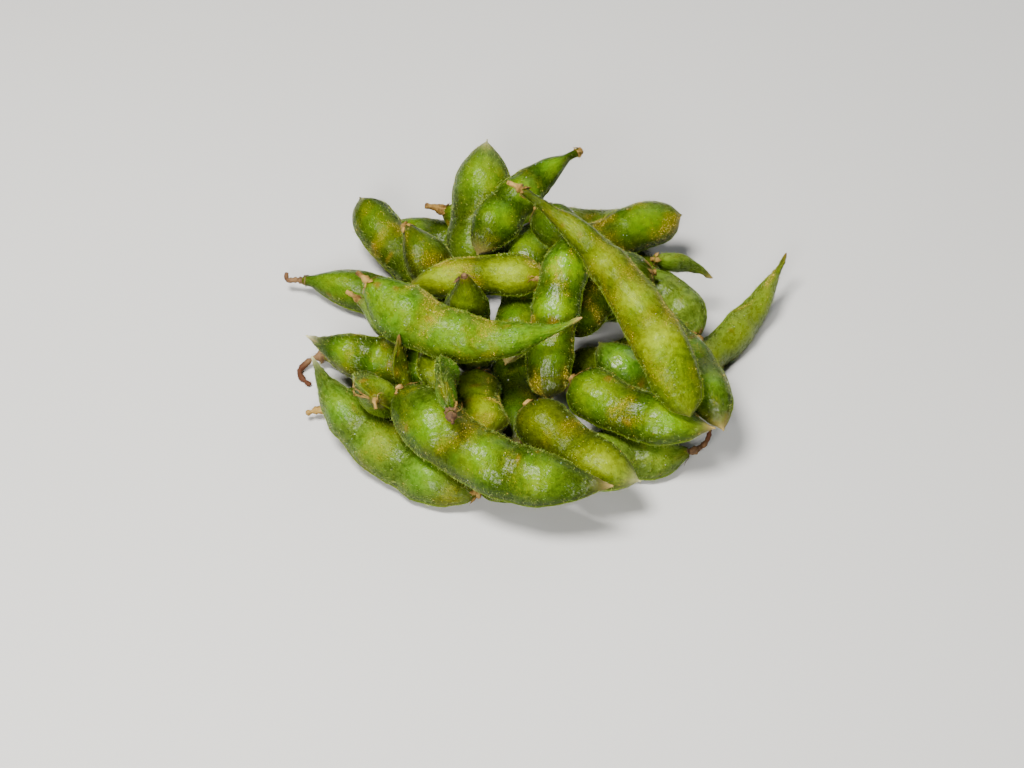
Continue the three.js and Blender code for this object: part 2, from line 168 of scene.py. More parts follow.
DUSTY_REACH = 0.07  # half-length of a place of gathered seasoning, as a share of the body

STALK_SIDES = 18
STALK_ROWS, LONG_STALK_ROWS = 12, 26
STALK_ROOT, ROOT_RADIUS = 0.9, 1.3  # how far inside its pod a stalk begins, and its radius there
STALK_SLIMNESS = 0.95  # what every stalk's radius is multiplied by
END_SLIMNESS = 0.85  # its end's radius, as a share of the last ring's
PAST_END = 0.12  # how far past the solid's end it reaches, as a share of that end's last step
STALK_TIP = 0.12  # length of the blunt tip
HOOK_STEP, HOOK_TURN = 0.3, 3.4  # length of a step along a hooked end, and its whole turn
HOOK_TAPER = 0.985  # what each step multiplies the radius by
BROWN_FROM, BROWN_FADE = 2.5, 4.0  # how far from the neck browning starts, and over how much
MOSTLY_BROWN = 0.6  # a stalk browner than this is brown all along

# Pairs of lengths and widths are the smallest and the largest.
SEPAL_ROWS, SEPAL_SIDES, SEPAL_HALF_THICKNESS = 8, 6, 0.09
SEPAL_LENGTH, LONE_SEPAL_LENGTH = (0.7, 1.7), (0.9, 1.8)  # with a stalk, and without
SEPAL_HALF_WIDTH = (0.4, 0.75)
SEPAL_PLACES = 5  # round a neck
FIBRE_SIDES = 6
FIBRE_RADIUS, FIBRE_LENGTH = 0.08, (1.5, 3.5)  # loose fibres at a stalk
THREAD_RADIUS, THREAD_LENGTH = 0.07, (1.0, 3.6)  # curled threads at a torn place
TORN_ROWS, TORN_SIDES, TORN_HALF_THICKNESS = 26, 6, 0.05
TORN_STRIPS = (-0.14, -0.03, 0.1)  # angles of the strips beside each other, in radians
TORN_THREADS = 9
LOWEST_TRIM = 0.02  # trim reaches no lower than this above the table

BRISTLES_PER_MM2 = 1.6
BRISTLE_LENGTH, BRISTLE_RADIUS = (0.4, 1.15), (0.024, 0.04)
BRISTLE_ROOT = 0.05  # how deep they stand in the skin
GRAINS_PER_MM2 = 7.0
SMALLEST_GRAIN, GRAIN_GROWTH = 0.055, 0.10  # half a grain's width, and how much more it can be
SALT_PER_MM2 = 0.014
SALT_SIZE = (0.06, 0.14)  # half a grain's width too
LOWEST_GRAIN = 1.0  # grains lie higher than this above the table
STAND_OUT = 0.6  # how far a grain's middle stands out of the skin, as a share of its size

# Each pod's own random draws start from one of these and its number.
STALK_SEED, BRISTLE_SEED, SEASONING_SEED, SALT_SEED, TORN_SEED = 400, 700, 900, 1200, 1500
WAVE_COUNT = 14  # waves added up in a random field


def mix(a, b, t):
    return a + (b - a) * t


def unit(vectors):
    return vectors / np.maximum(np.linalg.norm(vectors, axis=-1, keepdims=True), 1e-9)


def waves(points, size, seed):
    """A smooth random field over points, with features of a size: mean 0, spread about 1."""
    draw = np.random.default_rng(seed)
    k = draw.normal(size=(WAVE_COUNT, 3)) * 2.2 / size
    phase = draw.uniform(0, 2 * math.pi, WAVE_COUNT)
    return np.sin(points @ k.T + phase).sum(-1) / math.sqrt(WAVE_COUNT / 2)


def hermite(at, places, values):
    """Smooth curve through values at places, read at other places."""
    values = np.asarray(values, float)
    flat = values.reshape(len(places), -1)
    slopes = np.gradient(values, places, axis=0).reshape(len(places), -1)
    i = np.clip(np.searchsorted(places, at) - 1, 0, len(places) - 2)
    step = (places[i + 1] - places[i])[:, None]
    t = (at - places[i])[:, None] / step
    out = (
        (2 * t**3 - 3 * t**2 + 1) * flat[i]
        + (t**3 - 2 * t**2 + t) * step * slopes[i]
        + (3 * t**2 - 2 * t**3) * flat[i + 1]
        + (t**3 - t**2) * step * slopes[i + 1]
    )
    return out.reshape((len(at),) + values.shape[1:])


# ---- Reading a pod from its solid -----------------------------------------------------------
def solid_rings(node):
    """The rings of corners of a pod's solid from the stem end to the tip, poles included."""
    mesh = node.data
    corners = np.zeros(len(mesh.vertices) * 3, np.float32)
    mesh.vertices.foreach_get("co", corners)
    spots, same = np.unique(np.round(corners.reshape(-1, 3), 7), axis=0, return_inverse=True)
    same = same.reshape(-1)
    near = [set() for _ in spots]
    for edge in mesh.edges:
        a, b = (int(same[v]) for v in edge.vertices)
        if a != b:
            near[a].add(b)
            near[b].add(a)
    pole = next(i for i, around in enumerate(near) if len(around) == SOLID_SIDES)
    rings = [[pole]]
    seen = {pole}
    while True:
        ring = sorted({j for i in rings[-1] for j in near[i]} - seen)
        if not ring:
            break
        rings.append(ring)
        seen.update(ring)
    rings = [spots[ring].astype(float) / MM for ring in rings]
    ends = [np.linalg.norm(ring - ring.mean(0), axis=1).mean() for ring in (rings[1], rings[-2])]
    return rings if ends[0] > ends[1] else rings[::-1]


class Pod:
    """A pod's line, frame and section along its body, read from its solid."""

    def __init__(self, name, number):
        self.name = name
        self.seed = number
        self.tint, self.warm, *self.bright, self.pale = PODS[name][:5]
        self.dust, self.hair, self.tip_colour, self.stalk_brown, self.dusty = PODS[name][5:]
        rings = solid_rings(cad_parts["pod_" + name])
        centres = np.array([ring.mean(0) for ring in rings])
        reach = np.array([np.linalg.norm(r - c, axis=1).max() for r, c in zip(rings, centres)])
        neck = next(i for i in range(1, 8) if abs(reach[i] - NECK_RADIUS) < NECK_SLACK)
        self.flat = self.find_flat(rings, centres)
        tangents = unit(np.gradient(centres, axis=0))
        across = unit(np.cross(self.flat, tangents))
        wide = np.array([np.ptp((r - c) @ a) / 2 for r, c, a in zip(rings, centres, across)])
        thick = np.array([np.ptp((r - c) @ self.flat) / 2 for r, c in zip(rings, centres)])
        self.stalk_centres = centres[: neck + 1]
        self.stalk_radii = reach[: neck + 1]
        self.stalk_end = centres[0] + PAST_END * (centres[0] - centres[1])
        body = slice(neck, None)
        self.centres, self.wide, self.thick = centres[body], wide[body], thick[body]
        self.wide[-1] = self.thick[-1] = BLUNT_TIP
        steps = np.linalg.norm(np.diff(self.centres, axis=0), axis=1)
        self.places = np.concatenate([[0], np.cumsum(steps)])
        self.length = self.places[-1]
        self.beans = round((len(self.centres) - 2 - BODY_RINGS) / BEAN_RINGS)
        even = np.linspace(0, 1, len(self.centres) - 1)
        self.shares = np.append(even - EASE_ENDS * np.sin(2 * math.pi * even), 1.03)
        # A slender tip is dry further back than a blunt one.
        wide_near_tip = self.section([self.length - 3])[3][0]
        self.slender = np.clip(1.7 - wide_near_tip / 2.2, 0.12, 1)

    @staticmethod
    def find_flat(rings, centres):
        """The direction through a pod's thickness, the same all along it."""
        tangents = unit(np.gradient(centres, axis=0))
        total = np.zeros((3, 3))
        for ring, centre, tangent in zip(rings[2:-2], centres[2:-2], tangents[2:-2]):
            away = ring - centre
            away = away - np.outer(away @ tangent, tangent)
            sizes, axes = np.linalg.eigh(away.T @ away)
            weight = max(sizes[2] / max(sizes[1], 1e-9) - 1.1, 0) * sizes[2]
            total += weight * np.outer(axes[:, 1], axes[:, 1])
        flat = np.linalg.eigh(total)[1][:, 2]
        return flat if flat[2] >= 0 else -flat

    def section(self, at):
        """Centre, tangent, across, half-width and half-thickness at places along the body."""
        at = np.asarray(at, float)
        centre = hermite(at, self.places, self.centres)
        ahead = hermite(np.minimum(at + LOOK_AHEAD, self.length), self.places, self.centres)
        behind = hermite(np.maximum(at - LOOK_AHEAD, 0), self.places, self.centres)
        tangent = unit(ahead - behind)
        across = unit(np.cross(self.flat, tangent))
        wide = np.sqrt(np.maximum(hermite(at, self.places, self.wide**2), 0.01))
        thick = np.sqrt(np.maximum(hermite(at, self.places, self.thick**2), 0.01))
        return centre, tangent, across, wide, thick

    def swell(self, at):
        """Height of the beans' swelling, 0 to 1, at places along the body."""
        share = np.interp(at, self.places, self.shares)
        spacing = (LAST_BEAN - FIRST_BEAN) / max(self.beans - 1, 1)
        beans = FIRST_BEAN + spacing * np.arange(self.beans)
        away = (share[:, None] - beans) / (spacing * 0.45)
        return np.exp(-(away**2)).max(1)

    def surface(self, at, angle):
        """Points and outward directions of the skin at places along it and angles round it.
        Angle 0 and pi are the seams."""
        centre, _, across, wide, thick = self.section(at)
        cos, sin = np.cos(angle), np.sin(angle)
        lens = mix(1, LENS, np.clip(thick / 2.5 - 0.4, 0, 1))
        through = np.sign(sin) * np.abs(sin) ** lens
        rise = SEAM_RISE * np.exp(-((sin / SEAM_SHARE) ** 2)) * np.clip(wide / 2.5 - 0.5, 0, 1)
        out = cos * wide + np.sign(cos) * rise
        points = centre + across * out[:, None] + self.flat * (through * thick)[:, None]
        way = across * (cos / wide)[:, None] + self.flat * (sin / thick)[:, None]
        return points, unit(way)


# ---- Meshes ---------------------------------------------------------------------------------
def make_piece(name, points, faces, material, attributes=None, smooth=True):
    """A mesh object from points in millimetres and a list or array of faces, riding on the heap."""
    mesh = bpy.data.meshes.new(name)
    sizes = np.array([len(face) for face in faces])
    loops = np.concatenate(faces)
    mesh.vertices.add(len(points))
    mesh.vertices.foreach_set("co", (points * MM).astype(np.float32).reshape(-1))
    mesh.loops.add(len(loops))
    mesh.loops.foreach_set("vertex_index", loops.astype(np.int32))
    mesh.polygons.add(len(sizes))
    starts = np.concatenate([[0], np.cumsum(sizes)[:-1]]).astype(np.int32)
    mesh.polygons.foreach_set("loop_start", starts)
    mesh.update(calc_edges=True)
    mesh.validate()
    mesh.polygons.foreach_set("use_smooth", np.full(len(mesh.polygons), smooth))
    for key, values in (attributes or {}).items():
        kind = "FLOAT" if values.ndim == 1 else "FLOAT_VECTOR"
        layer = mesh.attributes.new(key, kind, "POINT")
        layer.data.foreach_set("value" if values.ndim == 1 else "vector", values.reshape(-1))
    mesh.materials.append(material)
    piece = bpy.data.objects.new(name, mesh)
    bpy.context.scene.collection.objects.link(piece)
    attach(piece, BODY)
    return piece


def closed_tube(rings):
    """Points and faces of a closed tube through rings, an array of rows, sides and places."""
    rows, sides = rings.shape[:2]
    points = np.concatenate([rings.reshape(-1, 3), [rings[0].mean(0)], [rings[-1].mean(0)]])
    ring = np.arange(sides)
    after = (ring + 1) % sides
    faces = []
    for first in sides * np.arange(rows - 1):
        a, b = first + ring, first + after
        faces += list(np.stack([a, b, b + sides, a + sides], 1))
    last = (rows - 1) * sides
    start, end = rows * sides, rows * sides + 1
    faces += [np.array([start, b, a]) for a, b in zip(ring, after)]
    faces += [np.array([end, last + a, last + b]) for a, b in zip(ring, after)]
    return points, faces


def ring_round(centre, tangent, side, radii, sides):
    """Rings of a tube: one for each centre, of its radius, with a side direction to start at."""
    side = unit(side - tangent * (side * tangent).sum(-1, keepdims=True))
    other = np.cross(tangent, side)
    angle = 2 * math.pi * np.arange(sides) / sides
    turn = (
        side[:, None] * np.cos(angle)[None, :, None]
        + other[:, None] * np.sin(angle)[None, :, None]
    )
    return centre[:, None] + turn * np.reshape(radii, (len(centre), -1, 1))


def joined(parts):
    """Parts with faces of any number of corners as one: points and a list of faces."""
    points, faces, first = [], [], 0
    for part_points, part_faces in parts:
        points.append(part_points)
        faces += [np.asarray(face) + first for face in part_faces]
        first += len(part_points)
    return np.concatenate(points), faces


# ---- Materials ------------------------------------------------------------------------------
class Nodes:
    """A material's node tree, with a short way to add to it."""

    def __init__(self, name):
        self.material = bpy.data.materials.new(name)
        self.material.use_nodes = True
        self.tree = self.material.node_tree
        self.tree.nodes.clear()

    def add(self, kind, inputs=None, **settings):
        node = self.tree.nodes.new("ShaderNode" + kind)
        for key, value in settings.items():
            setattr(node, key, value)
        for key, value in (inputs or {}).items():
            if isinstance(value, bpy.types.NodeSocket):
                self.tree.links.new(value, node.inputs[key])
            else:
                node.inputs[key].default_value = value
        return node

    def noise(self, where, scale, detail=3.0, rough=0.55):
        inputs = {"Vector": where, "Scale": scale, "Detail": detail, "Roughness": rough}
        return self.add("TexNoise", inputs).outputs["Fac"]

    def ramp(self, value, low, high, out_low=0.0, out_high=1.0):
        inputs = {"Value": value, 1: low, 2: high, 3: out_low, 4: out_high}
        return self.add("MapRange", inputs, interpolation_type="SMOOTHSTEP").outputs[0]

    def math(self, operation, a, b):
        return self.add("Math", {0: a, 1: b}, operation=operation).outputs[0]

    def blend(self, share, a, b):
        node = self.add("Mix", {"Factor": share}, data_type="RGBA")
        for socket, value in ((node.inputs[6], a), (node.inputs[7], b)):
            if isinstance(value, bpy.types.NodeSocket):
                self.tree.links.new(value, socket)
            else:
                socket.default_value = (*value, 1)
        return node.outputs[2]

    def attribute(self, name, output="Fac"):
        return self.add("Attribute", attribute_name=name).outputs[output]

    def bump(self, height, distance, strength=1.0, under=None):
        inputs = {"Height": height, "Distance": distance, "Strength": strength}
        if under is not None:
            inputs["Normal"] = under
        return self.add("Bump", inputs).outputs["Normal"]

    def place(self):
        return self.add("TexCoord").outputs["Object"]

    def finish(self, inputs):
        shader = self.add("BsdfPrincipled", inputs)
        self.add("OutputMaterial", {"Surface": shader.outputs[0]})
        return self.material


# Colours of a skin from its hollows to the crowns over its beans, in linear light: the dark end is
# painted shade in hollows and on the flanks, the light end painted light on the crowns. Then the
# colours of what is on it.
GREEN = ((0.001, 0.0045, 0.0), (0.0085, 0.031, 0.0), (0.070, 0.218, 0.0))
YELLOW = ((0.003, 0.0055, 0.0), (0.026, 0.040, 0.0), (0.215, 0.278, 0.0))
PALE = (0.14, 0.215, 0.03)
VELVET = (0.16, 0.25, 0.005)
DUST = (0.30, 0.24, 0.008)
SEAM = (0.19, 0.30, 0.008)
BROWN = (0.11, 0.065, 0.006)
DRY = {"tan": (0.48, 0.33, 0.12), "white": (0.66, 0.62, 0.36), "brown": (0.20, 0.095, 0.03)}


def skin_material():
    """A pod's skin: it reads what masks() writes at each point."""
    n = Nodes("pod_skin")
    lay = n.attribute("lay", "Vector")
    tone_and_painted_light = n.add("SeparateXYZ", {0: n.attribute("tone_and_painted_light", "Vector")}).outputs
    painted_bean_light_and_shade, seam, gloss = n.attribute("painted_bean_light_and_shade"), n.attribute("seam"), n.attribute("gloss")
    dust, dry, scar = n.attribute("dust"), n.attribute("dry"), n.attribute("scar")
    clouds = n.noise(lay, 0.16, 4)
    mottle = n.noise(lay, 0.75, 5, 0.65)
    fine = n.noise(lay, 3.2, 3, 0.6)
    pores = n.add("TexVoronoi", {"Vector": lay, "Scale": 2.3}).outputs["Distance"]

    # Green to yellow, darker in the hollows and towards the seams as painted shade and lighter on
    # the crowns over the beans as painted light, then pale bloom and the pod's brightness with its
    # painted light and shade.
    warm = n.math("ADD", tone_and_painted_light[0], n.ramp(clouds, 0.3, 0.7, -0.22, 0.22))
    height = n.math("ADD", n.math("MULTIPLY", painted_bean_light_and_shade, 0.56), n.math("MULTIPLY", mottle, 0.5))
    green, yellow = (
        n.blend(
            n.ramp(height, 0.4, 1.1), n.blend(n.ramp(height, 0.1, 0.55), dark, middle), light
        )
        for dark, middle, light in (GREEN, YELLOW)
    )
    base = n.blend(warm, green, yellow)
    base = n.blend(n.math("MULTIPLY", tone_and_painted_light[2], n.ramp(mottle, 0.35, 0.6, 0.3, 0.9)), base, PALE)
    base = n.add("VectorMath", {0: base, "Scale": tone_and_painted_light[1]}, operation="SCALE").outputs[0]

    # Seams, brown scars, velvety specks, seasoning and the dry tip.
    base = n.blend(n.math("MULTIPLY", seam, 0.35), base, SEAM)
    base = n.blend(n.math("MULTIPLY", scar, 0.85), base, BROWN)
    speck = n.ramp(fine, 0.5, 0.6)
    base = n.blend(n.math("MULTIPLY", speck, 0.09), base, VELVET)
    dusted = n.math("MULTIPLY", dust, n.math("ADD", n.math("MULTIPLY", speck, 0.5), 0.08))
    base = n.blend(dusted, base, DUST)
    base = n.blend(dry, base, n.attribute("dry_colour", "Vector"))

    # A fine pebbled skin under an oily film that gathers in larger ripples.
    pebble = n.bump(pores, 0.00014, 0.6)
    skin = n.bump(mottle, 0.00032, 0.55, n.bump(fine, 0.00011, 0.6, pebble))
    along = n.add("VectorMath", {0: lay, 1: (0.45, 1.6, 1.6)}, operation="MULTIPLY").outputs[0]
    cells = n.add("TexVoronoi", {"Vector": lay, "Scale": 1.1}).outputs["Distance"]
    wet = n.bump(cells, 0.00015, 0.6, n.bump(n.noise(along, 0.9, 2.5, 0.5), 0.00026, 0.6))
    rough = n.ramp(mottle, 0.35, 0.7, 0.24, 0.36)
    rough = n.math("ADD", rough, n.math("MULTIPLY", n.math("ADD", dusted, dry), 0.35))
    return n.finish(
        {
            "Base Color": base,
            "Roughness": rough,
            "Normal": skin,
            "Specular IOR Level": 0.17,
            "Specular Tint": (0.65, 1.0, 0.08, 1),
            "Subsurface Weight": 0.15,
            "Subsurface Radius": (1.0, 1.0, 0.25),
            "Subsurface Scale": 0.0016,
            "Sheen Weight": 0.06,
            "Sheen Roughness": 0.4,
            "Sheen Tint": (0.62, 0.85, 0.25, 1),
            "Coat Weight": n.math("MULTIPLY", gloss, 0.07),
            "Coat Roughness": 0.2,
            "Coat IOR": 2.0,
            "Coat Normal": wet,
        }
    )


def dry_material(name, light, dark):
    """Dry plant matter: calyxes, stalks and fibres, streaked along."""
    n = Nodes(name)
    where = n.place()
    streaks = n.noise(where, 900.0, 5, 0.7)
    patches = n.noise(where, 260.0, 3)
    base = n.blend(n.ramp(patches, 0.35, 0.65), dark, light)
    base = n.blend(n.ramp(streaks, 0.4, 0.7, 0, 0.55), base, tuple(1.25 * c for c in light))
    base = n.blend(n.ramp(streaks, 0.5, 0.3, 0, 0.6), base, tuple(0.5 * c for c in dark))
    base = n.blend(n.attribute("browned"), base, (0.07, 0.022, 0.009))
    normal = n.bump(streaks, 0.00025, 0.8)
    rough = n.ramp(streaks, 0.3, 0.7, 0.5, 0.8)
    inputs = {"Base Color": base, "Roughness": rough, "Normal": normal}
    return n.finish(inputs | {"Specular IOR Level": 0.15})


def grain_material(name, light, dark, scale, rough, clear):
    """Grains, each of its own shade."""
    n = Nodes(name)
    shade = n.noise(n.place(), scale, 2)
    base = n.blend(n.ramp(shade, 0.35, 0.65), dark, light)
    normal = n.bump(n.noise(n.place(), scale * 6, 2), 0.00008, 0.6)
    inputs = {"Base Color": base, "Roughness": rough, "Normal": normal}
    inputs["Specular IOR Level"] = 0.25
    inputs["Subsurface Weight"] = clear
    inputs["Subsurface Scale"] = 0.0006
    return n.finish(inputs)


skin = skin_material()
stalk_tan = dry_material("stalk_tan", (0.32, 0.20, 0.05), (0.10, 0.05, 0.009))
stalk_brown = dry_material("stalk_brown", (0.17, 0.10, 0.045), (0.045, 0.022, 0.010))
bristle_material = grain_material("bristle", (0.46, 0.54, 0.12), (0.20, 0.27, 0.03), 700, 0.6, 0.2)
seasoning = grain_material("seasoning", (0.66, 0.50, 0.10), (0.38, 0.27, 0.025), 2200, 0.6, 0.1)
salt = grain_material("salt", (0.93, 0.93, 0.88), (0.72, 0.74, 0.66), 1500, 0.25, 0.5)


# ---- Skins ----------------------------------------------------------------------------------
def rows_along(pod):
    """Places of the rings along a skin, closer together at its ends."""
    count = int(pod.length * ROWS_PER_MM) + END_ROWS
    even = np.linspace(0, 1, count)
    return pod.length * mix(even, (1 - np.cos(math.pi * even)) / 2, 0.55)


def seam_angles():
    """Angles round a section, closer together at the seams."""
    even = 2 * math.pi * np.arange(SIDES) / SIDES
    return even - SEAM_CROWDING * np.sin(2 * even)


def skin_place(pod, at, angle):
    """The skin's own coordinates: along it, across it and through it, far apart for each pod."""
    across, through = np.cos(angle) * USUAL_WIDTH, np.sin(angle) * USUAL_DEPTH
    return np.stack([at, across, through], 1) + pod.seed * POD_STEP


def masks(pod, at, angle, way):
    """What the skin's material reads at each point."""
    sin = np.sin(angle)
    share = at / pod.length
    face = np.abs(sin) ** 1.3
    seam = np.exp(-((sin / SEAM_SHARE) ** 2))
    swell = pod.swell(at)
    stem = np.exp(-at / STEM_REACH)
    tip = np.exp(-(pod.length - at) / DRY_REACH)
    lay = skin_place(pod, at, angle)
    patches = waves(lay, 7, pod.seed) * 0.5 + waves(lay, 2.5, pod.seed + 50) * 0.4

    # Seasoning lies on the upper side, in patches, in hollows and where it has gathered.
    hollow = 1 - swell * face
    gathered_dust = sum(np.exp(-(((share - place) / DUSTY_REACH) ** 2)) for place in pod.dusty)
    dust = (patches - 0.4) * 0.7 + hollow * 0.2 + gathered_dust * (0.7 + 0.3 * patches)
    dust = np.clip(dust, 0, 1) * np.clip(way[:, 2] + 0.4, 0, 1) * (1 - 0.7 * seam)

    # Scars are brown spots, and browning at the stem and where seasoning has gathered.
    spots = waves(lay, 3.2, pod.seed + 90)
    scar = np.clip((spots - 2.3) * 1.6, 0, 1) + np.clip(stem * 1.1 - 0.35, 0, 1) * 0.6
    scar = scar + 0.22 * gathered_dust * (0.8 + 0.5 * patches)

    # The tone holds how yellow, how bright and how pale, its brightness being the pod's own tone
    # with painted light and shade. The underside is darker: painted shade.
    bright = mix(*pod.bright, share**1.6) * mix(0.55, 1.0, np.clip(way[:, 2] * 0.9 + 0.7, 0, 1))
    tone_and_painted_light = np.stack([np.full(len(at), pod.warm), bright, np.full(len(at), pod.pale)], 1)
    even = EVEN.get(pod.name, TINT_EVEN[pod.tint])
    gloss = TINT_GLOSS[pod.tint] * GLOSS.get(pod.name, 1)
    dry = np.clip((tip * 1.25 + 0.25 * tip * patches) * pod.slender, 0, 1)
    return {
        "lay": lay,
        # Painted light on the crowns over the beans, and painted shade in the hollows between them
        # and on the flanks towards the seams.
        "painted_bean_light_and_shade": mix(swell, 0.75, even) * mix(face, 1, 0.12 + 0.4 * even**2),
        "seam": seam,
        "dust": np.clip(dust * pod.dust, 0, 1),
        "gloss": gloss * (1 - dry) * np.clip(1.2 - dust * 1.2 + patches * 0.3, 0, 1.3),
        "dry": dry,
        "scar": np.clip(scar, 0, 1),
        "dry_colour": np.tile(DRY[pod.tip_colour], (len(at), 1)),
        "tone_and_painted_light": tone_and_painted_light,
    }


def skin_points(pod, at, angle):
    """Points of the uneven skin and their outward directions."""
    points, way = pod.surface(at, angle)
    lay = skin_place(pod, at, angle)
    easing = np.clip(np.minimum(at, pod.length - at) / 3, 0, 1)
    lift = sum(h * waves(lay, size, pod.seed + i) for i, (size, h) in enumerate(WAVES))
    creases = waves(lay * CREASE_STRETCH, CREASE_SIZE, pod.seed + 7)
    creases = creases * (1 - pod.swell(at)) * CREASE_HEIGHT
    points = points + way * ((lift + creases) * easing)[:, None]
    points[:, 2] = np.maximum(points[:, 2], 0.0)
    return points, way


def make_skin(pod):
    at = np.repeat(rows_along(pod), SIDES)
    angle = np.tile(seam_angles(), len(at) // SIDES)
    points, way = skin_points(pod, at, angle)
    closed, faces = closed_tube(points.reshape(-1, SIDES, 3))
    # The two poles that close the skin look like the first and the last point.
    looks = masks(pod, at, angle, way)
    looks = {k: np.concatenate([v, v[[0, -1]]]).astype(np.float32) for k, v in looks.items()}
    piece = make_piece("skin_" + pod.name, closed, faces, skin, looks)
    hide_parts("pod_" + pod.name)


# ---- Stalks and calyxes ---------------------------------------------------------------------
def ribbon(centre, side, out, width, thickness, sides):
    """A closed flat strip round a line, from its half-widths and its half-thickness."""
    turn = 2 * math.pi * np.arange(sides) / sides
    across = side[:, None] * (width[:, None] * np.cos(turn))[..., None]
    through = out[:, None] * (thickness * np.sin(turn))[None, :, None]
    return closed_tube(centre[:, None] + across + through)


def sepal(pod, angle, length, draw):
    """One dry lobe of the calyx, lying along the pod from its neck."""
    steps = np.linspace(0, 1, SEPAL_ROWS)
    at = steps * length
    turned = angle + steps * draw.uniform(-0.35, 0.35)
    points, way = pod.surface(at, turned)
    _, tangent, _, _, _ = pod.section(at)
    side = unit(np.cross(way, tangent))
    lift = 0.1 + 0.2 * steps + draw.uniform(0.0, 0.7) * steps**3
    ragged = 1 + 0.25 * np.sin(steps * draw.uniform(8, 16) + draw.uniform(0, 6))
    width = draw.uniform(*SEPAL_HALF_WIDTH) * np.sin(math.pi * (steps * 0.62 + 0.33)) * ragged
    width = width * (1 - steps**4) + 0.05
    return ribbon(points + way * lift[:, None], side, way, width, SEPAL_HALF_THICKNESS, SEPAL_SIDES)


def curl(start, way, length, radius, bend, draw):
    """A thread that leaves a point in a direction and curls."""
    steps = max(int(length * 4), 6)
    side = unit(np.cross(way, draw.normal(size=3)))
    heading = unit(way)
    centres = [start]
    for _ in range(steps):
        heading = unit(heading + side * bend / steps + draw.normal(size=3) * 0.05)
        side = unit(side - heading * (side @ heading))
        centres.append(centres[-1] + heading * (length / steps))
    centres = np.array(centres)
    tangents = unit(np.gradient(centres, axis=0))
    radii = radius * (1 - 0.75 * np.linspace(0, 1, len(centres)) ** 2)
    sides = np.tile(side + 0.01, (len(centres), 1))
    return closed_tube(ring_round(centres, tangents, sides, radii, FIBRE_SIDES))


def facing(pod, way, at):
    """The angle round a pod's section at which its skin faces a direction most."""
    angles = np.linspace(0, 2 * math.pi, 72)
    _, out = pod.surface(np.full(len(angles), at), angles)
    return angles[np.argmax(out @ np.array(way))]


def torn_edge(pod, way, start, end):
    """Dry ragged strips along a pod, with curled threads."""
    draw = np.random.default_rng(TORN_SEED + pod.seed)
    start, end = max(start * pod.length, 0.3), end * pod.length - 0.3
    angle = facing(pod, way, (start + end) / 2)
    at = np.linspace(start, end, TORN_ROWS)
    _, tangent, _, _, _ = pod.section(at)
    parts = []
    for strip in TORN_STRIPS:
        wander = np.cumsum(draw.normal(size=TORN_ROWS)) * 0.03
        points, out = pod.surface(at, angle + strip + wander)
        side = unit(np.cross(out, tangent))
        lift = 0.12 + 0.2 * np.abs(waves(points, 1.4, pod.seed + 3))
        width = 0.1 + 0.22 * np.abs(waves(points, 0.7, pod.seed + 4))
        width = width * np.sin(math.pi * np.linspace(0.06, 0.94, TORN_ROWS))
        centre = points + out * lift[:, None]
        parts.append(ribbon(centre, side, out, width, TORN_HALF_THICKNESS, TORN_SIDES))
    for _ in range(TORN_THREADS):
        root = np.array([draw.uniform(start, end)])
        point, out = pod.surface(root, np.array([angle + draw.normal() * 0.15]))
        heading = out[0] + draw.normal(size=3) * 0.6
        length = draw.uniform(*THREAD_LENGTH)
        bend = draw.uniform(1.5, 5)
        parts.append(curl(point[0], heading, length, THREAD_RADIUS, bend, draw))
    points, faces = joined(parts)
    points[:, 2] = np.maximum(points[:, 2], LOWEST_TRIM)
    make_piece("torn_" + pod.name, points, faces, stalk_tan)


def stalk_line(pod):
    """Centres and radii of a pod's stalk, from inside the pod out to its dry end."""
    share, reach, _, hook, towards = STALKS.get(pod.name, USUAL_STALK)
    centres, radii = pod.stalk_centres[::-1], pod.stalk_radii[::-1]
    rows = LONG_STALK_ROWS if len(centres) > 3 else STALK_ROWS
    centres = np.concatenate([pod.section([STALK_ROOT])[0], centres, [pod.stalk_end]])
    end = radii[-2] * END_SLIMNESS
    radii = STALK_SLIMNESS * np.concatenate([[ROOT_RADIUS / share], radii[:-1], [end, end]])
    steps = np.linalg.norm(np.diff(centres, axis=0), axis=1)
    places = np.concatenate([[0], np.cumsum(np.maximum(steps, 0.05))])
    at = np.linspace(0, places[-1] * reach, rows)
    line = list(hermite(at, places, centres))
    sizes = list(share * np.interp(at, places, radii))
    heading, pull = unit(line[-1] - line[-2]), unit(np.array(towards))
    for _ in range(int(hook / HOOK_STEP)):
        heading = unit(heading + pull * HOOK_STEP * HOOK_TURN / hook)
        line.append(line[-1] + heading * HOOK_STEP)
        sizes.append(sizes[-1] * HOOK_TAPER)
    line.append(line[-1] + heading * STALK_TIP)
    sizes.append(sizes[-1] * 0.5)
    line, sizes = np.array(line), np.array(sizes)
    line[:, 2] = np.maximum(line[:, 2], sizes * 0.8)
    return line, sizes


def stalk_tube(pod):
    """The stalk itself, ridged and knotted."""
    line, sizes = stalk_line(pod)
    tangents = unit(np.gradient(line, axis=0))
    around = np.arange(STALK_SIDES) * 2 * math.pi / STALK_SIDES
    twist = around[None] + 0.12 * np.arange(len(line))[:, None]
    ridges = 1 + 0.08 * np.sin(twist * 5) + 0.06 * np.sin(twist * 9 + 1)
    knots = 1 + 0.16 * waves(line, 0.9, pod.seed + 5)[:, None]
    radii = sizes[:, None] * ridges * knots
    sides = np.tile(pod.flat, (len(line), 1))
    return closed_tube(ring_round(line, tangents, sides, radii, STALK_SIDES))


